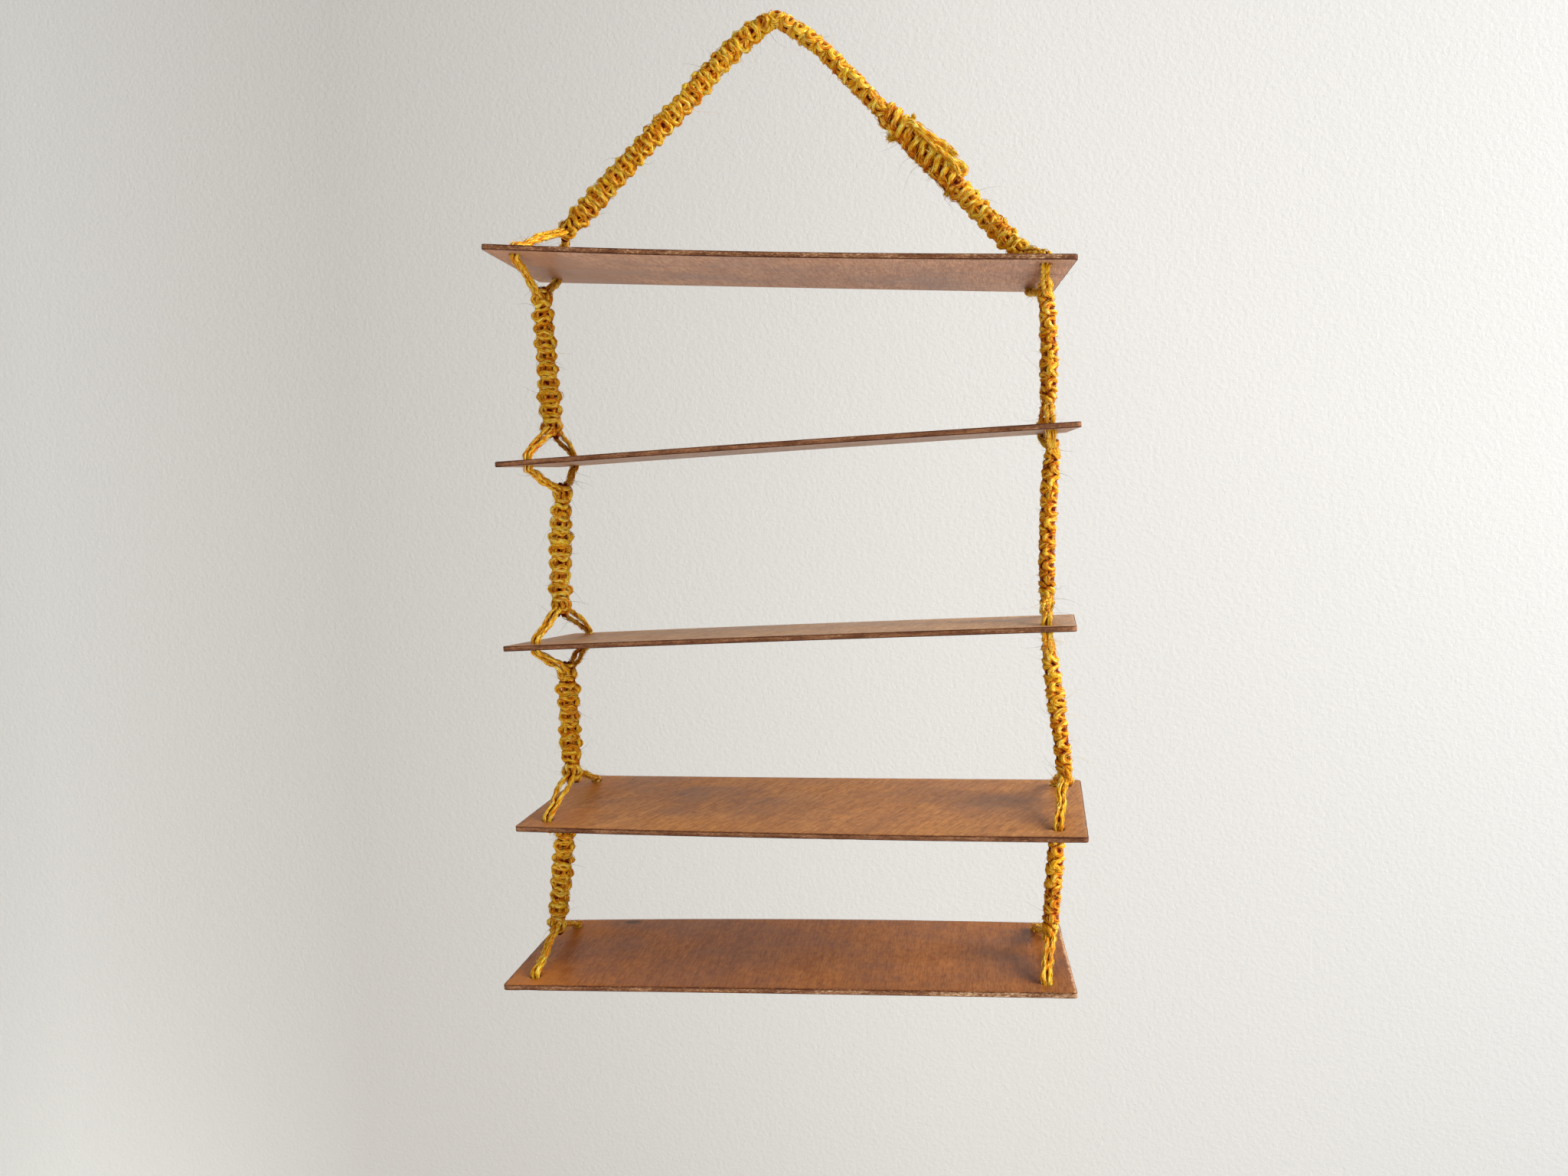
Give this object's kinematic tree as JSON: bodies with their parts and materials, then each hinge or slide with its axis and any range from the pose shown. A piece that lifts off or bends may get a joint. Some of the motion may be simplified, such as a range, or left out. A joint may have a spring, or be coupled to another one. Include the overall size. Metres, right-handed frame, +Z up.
{
  "type": "hanging rope shelf",
  "caption": "Thin wooden boards hung one above another on knotted rope, with a rope handle above to hang them from a hook.",
  "frame": {"origin": "the point where a hook or hand bears, under the top of the rope handle", "axes": "+Z up, +X towards the right end of the boards seen from the front, -Y towards the front edges"},
  "size_m": [0.3955, 0.1488, 0.6608],
  "materials": {
    "board": "thin brown plywood, worn satin stain",
    "rope": "golden yellow twisted sisal cord, knotted"
  },
  "bodies": {
    "handle": {"handle_long_band": "rope", "handle_splice": "rope", "handle_short_band": "rope", "left_handle_knot": "rope", "right_handle_knot": "rope"},
    "tier_1": {"shelf_board_1": "board", "left_front_leg_1": "rope", "left_back_leg_1": "rope", "right_front_leg_1": "rope", "right_back_leg_1": "rope"},
    "upper_knots_1": {"left_upper_knot_1": "rope", "right_upper_knot_1": "rope"},
    "left_rope_1": {"left_band_1": "rope"},
    "right_rope_1": {"right_band_1": "rope"},
    "lower_knots_1": {"left_lower_knot_1": "rope", "right_lower_knot_1": "rope"},
    "tier_2": {"shelf_board_2": "board", "left_front_leg_2": "rope", "left_back_leg_2": "rope", "right_front_leg_2": "rope", "right_back_leg_2": "rope"},
    "upper_knots_2": {"left_upper_knot_2": "rope", "right_upper_knot_2": "rope"},
    "left_rope_2": {"left_band_2": "rope"},
    "right_rope_2": {"right_band_2": "rope"},
    "lower_knots_2": {"left_lower_knot_2": "rope", "right_lower_knot_2": "rope"},
    "tier_3": {"shelf_board_3": "board", "left_front_leg_3": "rope", "left_back_leg_3": "rope", "right_front_leg_3": "rope", "right_back_leg_3": "rope"},
    "upper_knots_3": {"left_upper_knot_3": "rope", "right_upper_knot_3": "rope"},
    "left_rope_3": {"left_band_3": "rope"},
    "right_rope_3": {"right_band_3": "rope"},
    "lower_knots_3": {"left_lower_knot_3": "rope", "right_lower_knot_3": "rope"},
    "tier_4": {"shelf_board_4": "board", "left_front_leg_4": "rope", "left_back_leg_4": "rope", "right_front_leg_4": "rope", "right_back_leg_4": "rope"},
    "upper_knots_4": {"left_upper_knot_4": "rope", "right_upper_knot_4": "rope"},
    "left_rope_4": {"left_band_4": "rope"},
    "right_rope_4": {"right_band_4": "rope"},
    "lower_knots_4": {"left_lower_knot_4": "rope", "right_lower_knot_4": "rope"},
    "tier_5": {"shelf_board_5": "board", "left_under_loop": "rope", "right_under_loop": "rope"}
  },
  "joints": [
    {"name": "board_tilt_1", "type": "hinge", "parent": "handle", "child": "tier_1", "pos_m": [0.00549, 0, -0.14209], "axis": [0.9951, 0, -0.0992], "range_deg": [-30, 30]},
    {"name": "rope_swing_1", "type": "hinge", "parent": "tier_1", "child": "upper_knots_1", "pos_m": [0.00394, 0, -0.1794], "axis": [0.9994, 0, -0.0335], "range_deg": [-25, 25]},
    {"name": "rope_sway_1", "type": "hinge", "parent": "upper_knots_1", "child": "left_rope_1", "pos_m": [-0.17035, 0, -0.17355], "axis": [0, 1, 0], "range_deg": [-20, 20]},
    {"name": "rope_follow_1", "type": "hinge", "parent": "upper_knots_1", "child": "right_rope_1", "pos_m": [0.17822, 0, -0.18525], "axis": [0, 1, 0], "range_deg": [-25.3, 25.3]},
    {"name": "board_level_1", "type": "hinge", "parent": "left_rope_1", "child": "lower_knots_1", "pos_m": [-0.16573, 0, -0.26413], "axis": [0, 1, 0], "range_deg": [-20.3, 20.3]},
    {"name": "board_tilt_2", "type": "hinge", "parent": "lower_knots_1", "child": "tier_2", "pos_m": [0.00686, 0, -0.26112], "axis": [0.9998, 0, 0.0175], "range_deg": [-25, 25]},
    {"name": "rope_swing_2", "type": "hinge", "parent": "tier_2", "child": "upper_knots_2", "pos_m": [0.01172, 0, -0.30066], "axis": [0.9978, 0, 0.0667], "range_deg": [-25, 25]},
    {"name": "rope_sway_2", "type": "hinge", "parent": "upper_knots_2", "child": "right_rope_2", "pos_m": [0.18228, 0, -0.28926], "axis": [0, 1, 0], "range_deg": [-20, 20]},
    {"name": "rope_follow_2", "type": "hinge", "parent": "upper_knots_2", "child": "left_rope_2", "pos_m": [-0.15885, 0, -0.31205], "axis": [0, 1, 0], "range_deg": [-25, 25]},
    {"name": "board_level_2", "type": "hinge", "parent": "right_rope_2", "child": "lower_knots_2", "pos_m": [0.17842, 0, -0.38656], "axis": [0, 1, 0], "range_deg": [-20.1, 20.1]},
    {"name": "board_tilt_3", "type": "hinge", "parent": "lower_knots_2", "child": "tier_3", "pos_m": [0.00796, 0, -0.38892], "axis": [0.9999, 0, 0.0138], "range_deg": [-25, 25]},
    {"name": "rope_swing_3", "type": "hinge", "parent": "tier_3", "child": "upper_knots_3", "pos_m": [0.01053, 0, -0.43262], "axis": [0.9991, 0, 0.043], "range_deg": [-25, 25]},
    {"name": "rope_sway_3", "type": "hinge", "parent": "upper_knots_3", "child": "right_rope_3", "pos_m": [0.18004, 0, -0.42532], "axis": [0, 1, 0], "range_deg": [-20, 20]},
    {"name": "rope_follow_3", "type": "hinge", "parent": "upper_knots_3", "child": "left_rope_3", "pos_m": [-0.15898, 0, -0.43992], "axis": [0, 1, 0], "range_deg": [-22.9, 22.9]},
    {"name": "board_level_3", "type": "hinge", "parent": "right_rope_3", "child": "lower_knots_3", "pos_m": [0.18999, 0, -0.50652], "axis": [0, 1, 0], "range_deg": [-19.7, 19.7]},
    {"name": "board_tilt_4", "type": "hinge", "parent": "lower_knots_3", "child": "tier_4", "pos_m": [0.01642, 0, -0.50912], "axis": [0.9999, 0, 0.015], "range_deg": [-25, 25]},
    {"name": "rope_swing_4", "type": "hinge", "parent": "tier_4", "child": "upper_knots_4", "pos_m": [0.01069, 0, -0.55083], "axis": [0.9997, 0, 0.0235], "range_deg": [-25, 25]},
    {"name": "rope_sway_4", "type": "hinge", "parent": "upper_knots_4", "child": "left_rope_4", "pos_m": [-0.16322, 0, -0.55492], "axis": [0, 1, 0], "range_deg": [-20, 20]},
    {"name": "rope_follow_4", "type": "hinge", "parent": "upper_knots_4", "child": "right_rope_4", "pos_m": [0.18459, 0, -0.54674], "axis": [0, 1, 0], "range_deg": [-20.4, 20.4]},
    {"name": "board_level_4", "type": "hinge", "parent": "left_rope_4", "child": "lower_knots_4", "pos_m": [-0.17164, 0, -0.62438], "axis": [0, 1, 0], "range_deg": [-19.9, 19.9]},
    {"name": "board_tilt_5", "type": "hinge", "parent": "lower_knots_4", "child": "tier_5", "pos_m": [0.004, 0, -0.61974], "axis": [0.9997, 0, 0.0264], "range_deg": [-25, 25]}
  ],
  "couplings": [
    {"joint": "rope_follow_1", "follows": "rope_sway_1", "ratio": 1.2593},
    {"joint": "board_level_1", "follows": "rope_sway_1", "ratio": -1.0095},
    {"joint": "rope_follow_2", "follows": "rope_sway_2", "ratio": 1.242},
    {"joint": "board_level_2", "follows": "rope_sway_2", "ratio": -0.9977},
    {"joint": "rope_follow_3", "follows": "rope_sway_3", "ratio": 1.1391},
    {"joint": "board_level_3", "follows": "rope_sway_3", "ratio": -0.9762},
    {"joint": "rope_follow_4", "follows": "rope_sway_4", "ratio": 1.015},
    {"joint": "board_level_4", "follows": "rope_sway_4", "ratio": -0.9899}
  ]
}
